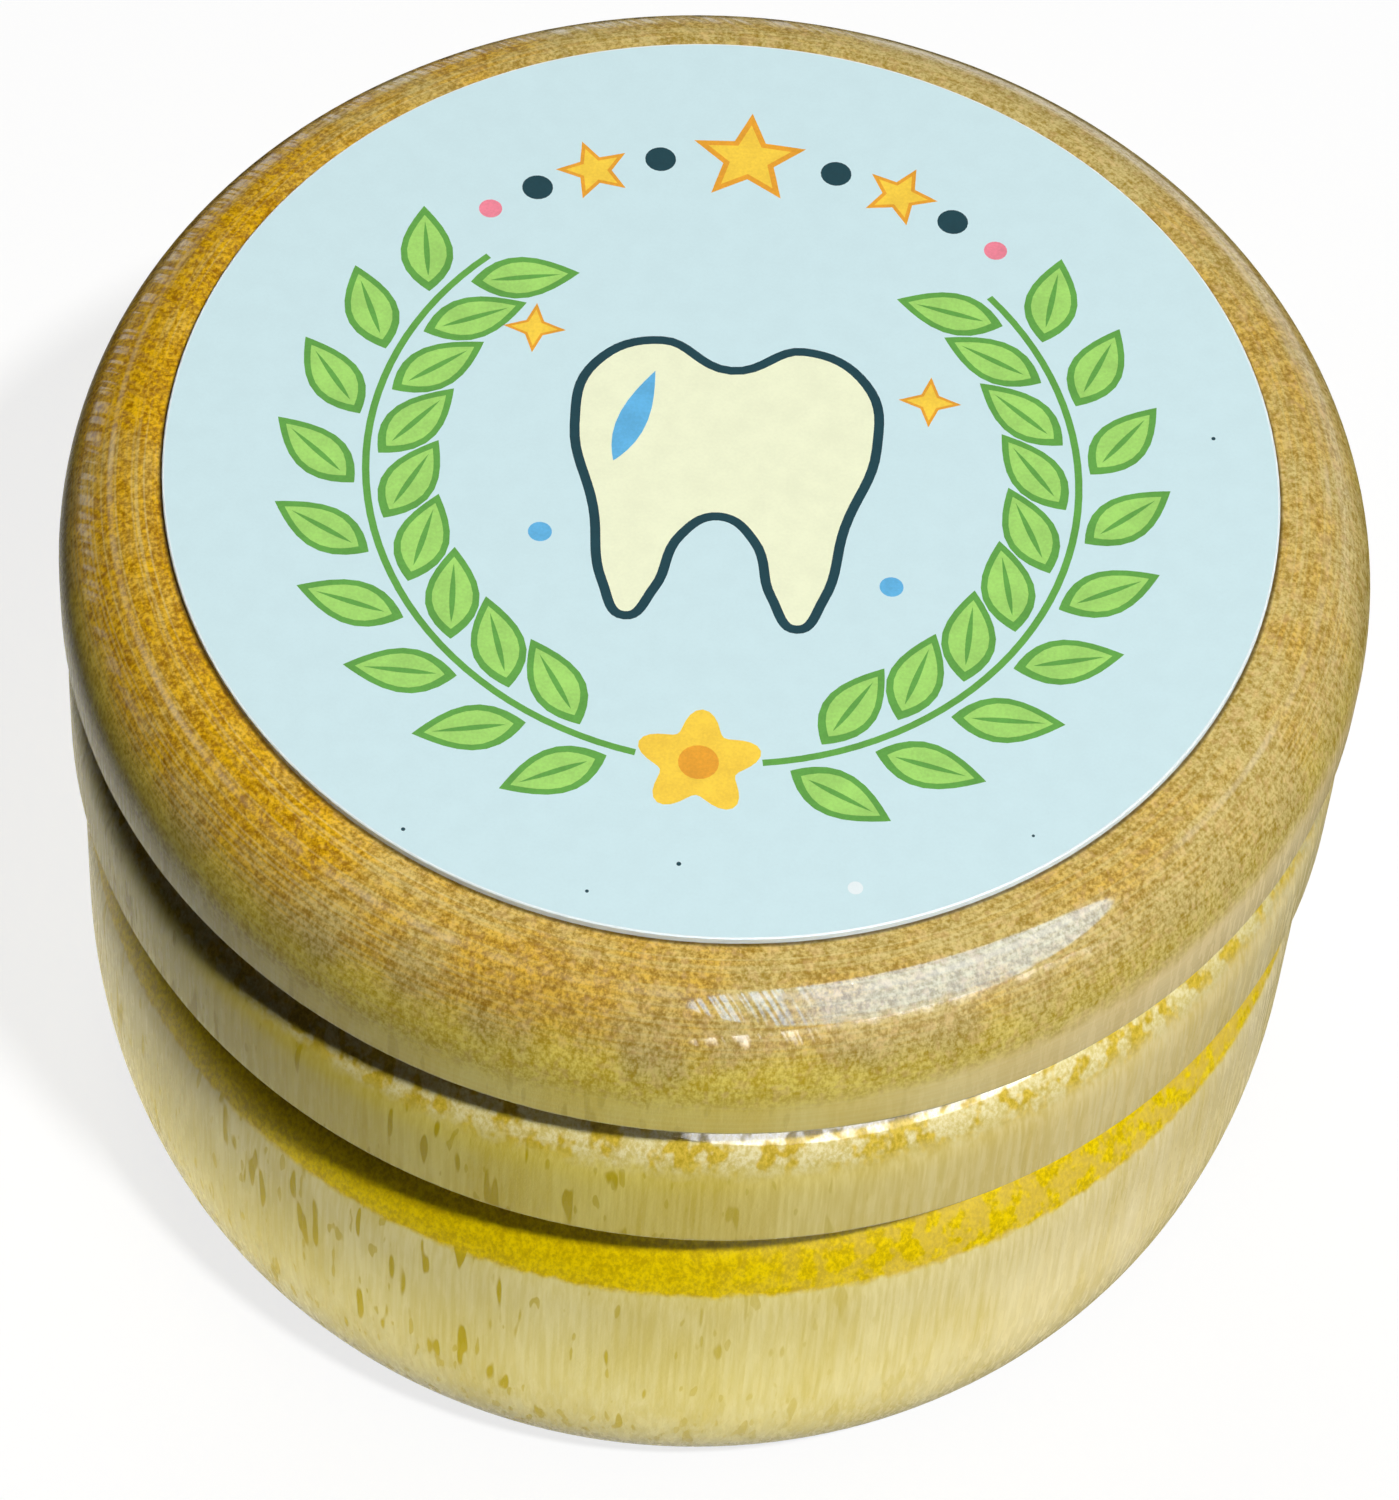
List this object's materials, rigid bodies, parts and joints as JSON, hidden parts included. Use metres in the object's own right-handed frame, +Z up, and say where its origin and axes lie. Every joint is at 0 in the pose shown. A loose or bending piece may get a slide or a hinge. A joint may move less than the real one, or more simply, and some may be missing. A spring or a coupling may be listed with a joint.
{
  "type": "milk tooth box",
  "caption": "Round turned wooden keepsake box for milk teeth: cup-shaped body with a grooved rim band, a plug lid that pulls straight off and a printed disc on the lid.",
  "frame": {"origin": "centre of the flat base, on the turning axis", "axes": "+Z up along the turning axis, -Y towards the viewer of the picture, +X to the viewer's right"},
  "size_m": [0.05, 0.05, 0.036],
  "materials": {
    "body_wood": "beech-like side grain with short upright ray flecks and golden end grain on the turned shoulders, clear satin varnish outside, bare wood inside the cavity",
    "lid_wood": "beech-like end grain, golden brown on the rounded upper corner and paler on the upright side, clear gloss varnish",
    "print": null
  },
  "bodies": {
    "box": {"box_body": "body_wood"},
    "lid": {"lid": "lid_wood", "printed_disc": "print"}
  },
  "joints": [
    {"name": "lid_lift", "type": "slide", "parent": "box", "child": "lid", "axis": [0, 0, 1], "range_m": [0, 0.05]}
  ]
}
